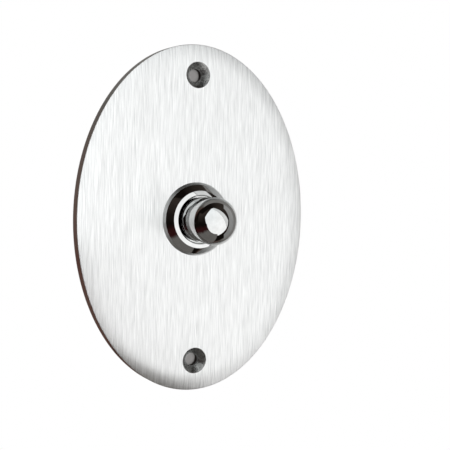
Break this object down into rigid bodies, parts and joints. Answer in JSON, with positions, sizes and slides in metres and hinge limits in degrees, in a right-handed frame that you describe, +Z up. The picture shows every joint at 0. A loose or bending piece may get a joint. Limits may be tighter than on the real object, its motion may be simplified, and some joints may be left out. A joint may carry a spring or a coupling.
{
  "type": "bell push",
  "caption": "Oval wall bell push: satin plate with countersunk fixing holes, a turned collar, and a sprung domed button that closes contacts in a threaded barrel behind it.",
  "frame": {"origin": "centre of the plate's back, on the wall's surface and on the button's axis", "axes": "+Z up along the plate's long axis, +Y into the wall, so the button faces -Y"},
  "size_m": [0.06, 0.0368, 0.084],
  "materials": {
    "satin_chrome": "satin chrome plate on brass, brushed along the long axis",
    "polished_chrome": "polished chrome plate on turned brass",
    "dull_nickel": "dull nickel plate",
    "contact_brass": "turned brass",
    "black_moulding": "moulded phenolic, fine matt",
    "spring_steel": "drawn spring wire"
  },
  "bodies": {
    "plate": {"face_plate": "satin_chrome", "button_collar": "polished_chrome", "lock_washer": "dull_nickel", "barrel_nut": "dull_nickel", "contact_base": "black_moulding", "left_terminal": "contact_brass", "right_terminal": "contact_brass", "terminal_screws": "contact_brass", "clamp_washers": "contact_brass", "return_spring": "spring_steel"},
    "button": {"push_button": "polished_chrome", "plunger": "black_moulding", "contact_bridge": "contact_brass"}
  },
  "joints": [
    {"name": "button_press", "type": "slide", "parent": "plate", "child": "button", "axis": [0, 1, 0], "range_m": [0, 0.0025], "stiffness_N_per_m": 400, "springref_m": -0.006, "deforming": ["return_spring"]}
  ]
}
